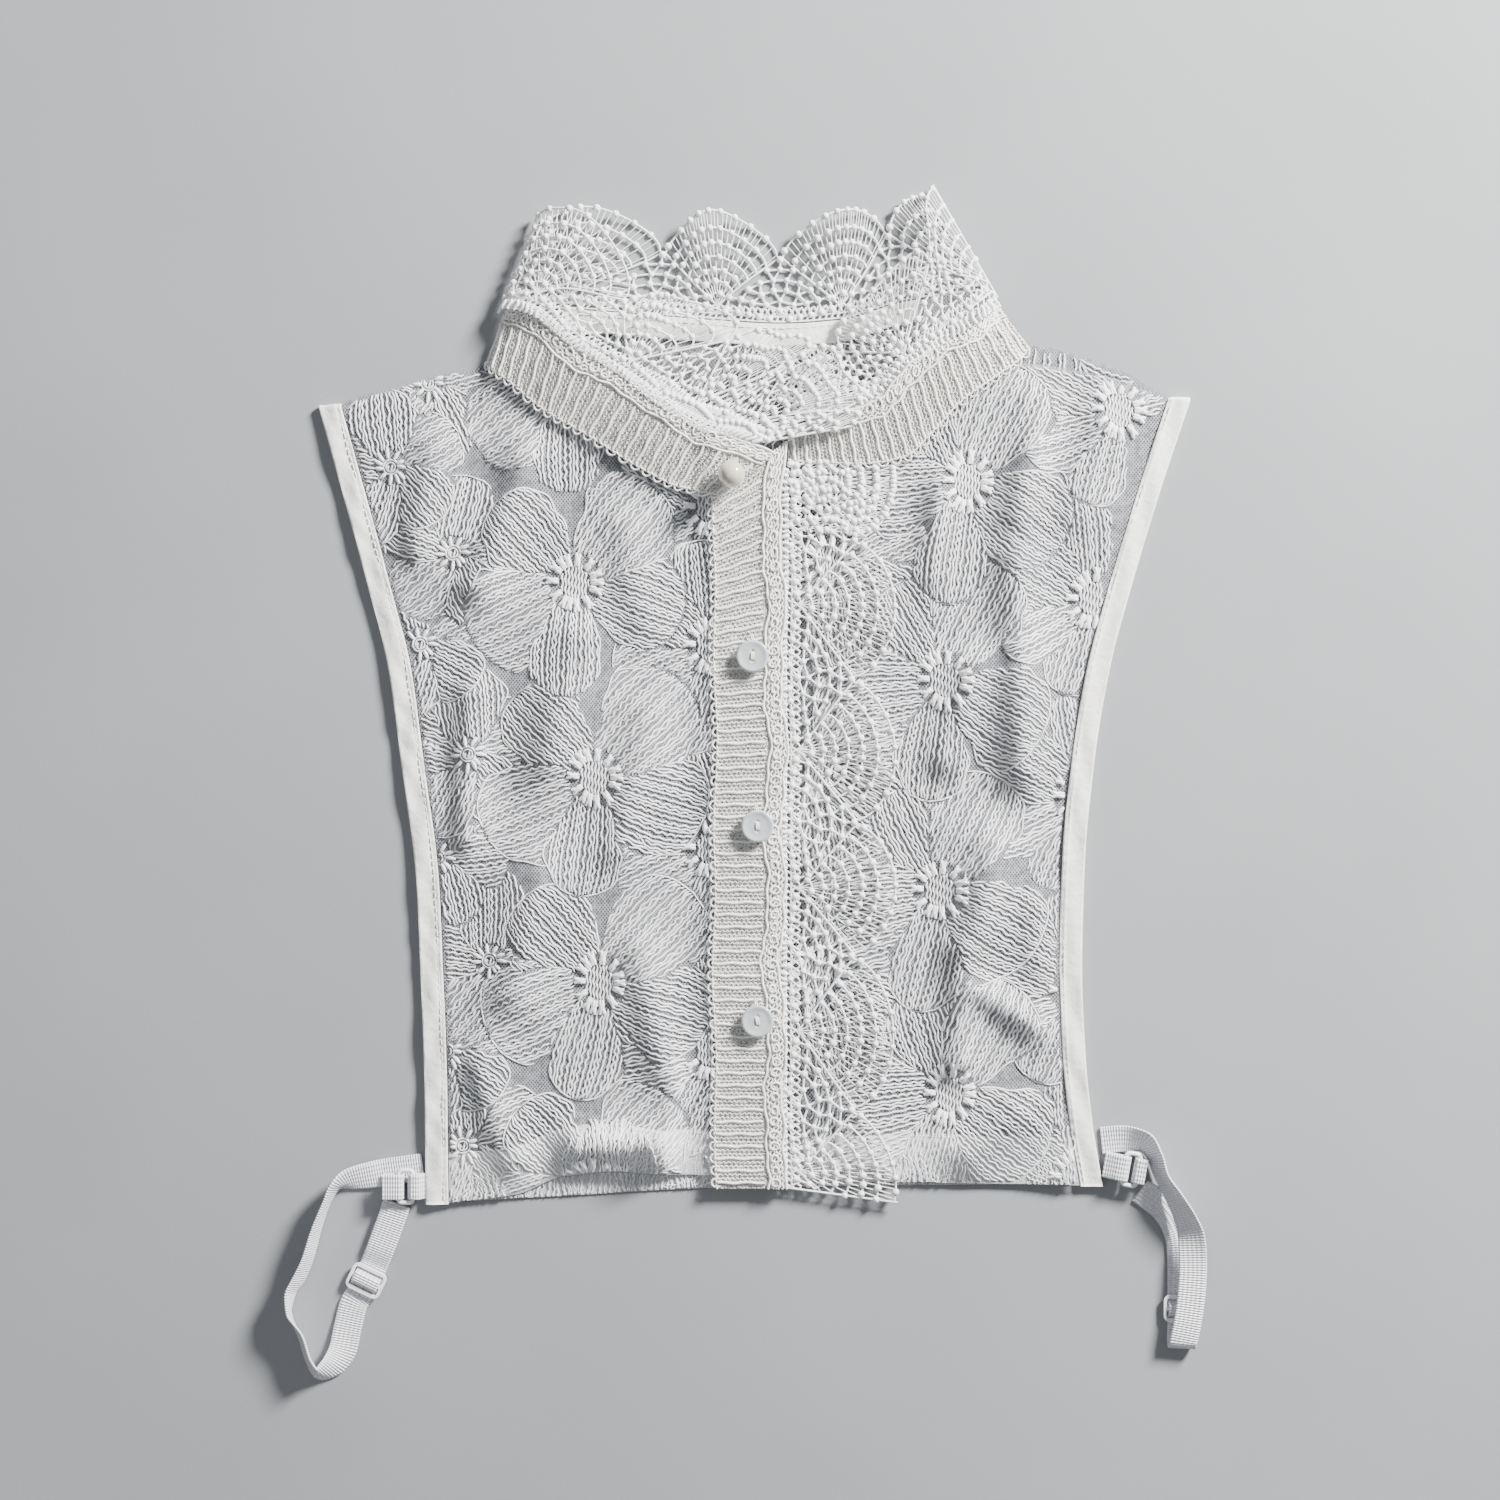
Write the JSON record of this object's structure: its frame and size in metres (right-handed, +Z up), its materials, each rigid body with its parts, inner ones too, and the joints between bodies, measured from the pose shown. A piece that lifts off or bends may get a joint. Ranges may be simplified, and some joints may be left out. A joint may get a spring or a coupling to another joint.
{
  "type": "detachable lace collar (sleeveless half-blouse), laid flat",
  "caption": "White lace half-blouse collar laid flat, with a standing scalloped collar, ribbed button edge, frill, satin bindings and elastic side straps.",
  "frame": {"origin": "on the ground, under the middle of the whole part as it lies", "axes": "+X to the right as seen from above, +Y from the hem to the collar, +Z up, away from the ground"},
  "size_m": [0.3306, 0.4316, 0.0204],
  "materials": {
    "net": "white floral embroidery on fine sheer grey-white net",
    "lace": "white scalloped openwork lace of knots and bars",
    "trim": "warm white ribbed lace trim with loops along one edge",
    "satin": "warm white satin bias tape, soft sheen",
    "elastic": "white woven elastic, slightly shiny",
    "plastic": "smooth milky white plastic",
    "button": "translucent bluish white shirt button",
    "pearl": "glossy warm white pearl coating"
  },
  "bodies": {
    "root": {"back_panel": "net", "front_left": "net", "front_right": "net", "binding_left": "satin", "binding_right": "satin", "neck_tape": "satin", "placket_trim": "trim", "collar_trim_left": "trim", "collar_trim_right": "trim", "front_frill": "lace", "collar_lace_back": "lace", "collar_lace_left": "lace", "collar_lace_right": "lace", "button_1": "button", "button_2": "button", "button_3": "button", "pearl_button": "pearl", "tab_left": "elastic", "tab_right": "elastic", "strap_left": "elastic", "strap_right": "elastic", "strap_loop_left": "elastic", "strap_loop_right": "elastic", "ring_left": "plastic", "ring_right": "plastic", "slider_left": "plastic", "slider_right": "plastic"}
  },
  "joints": []
}
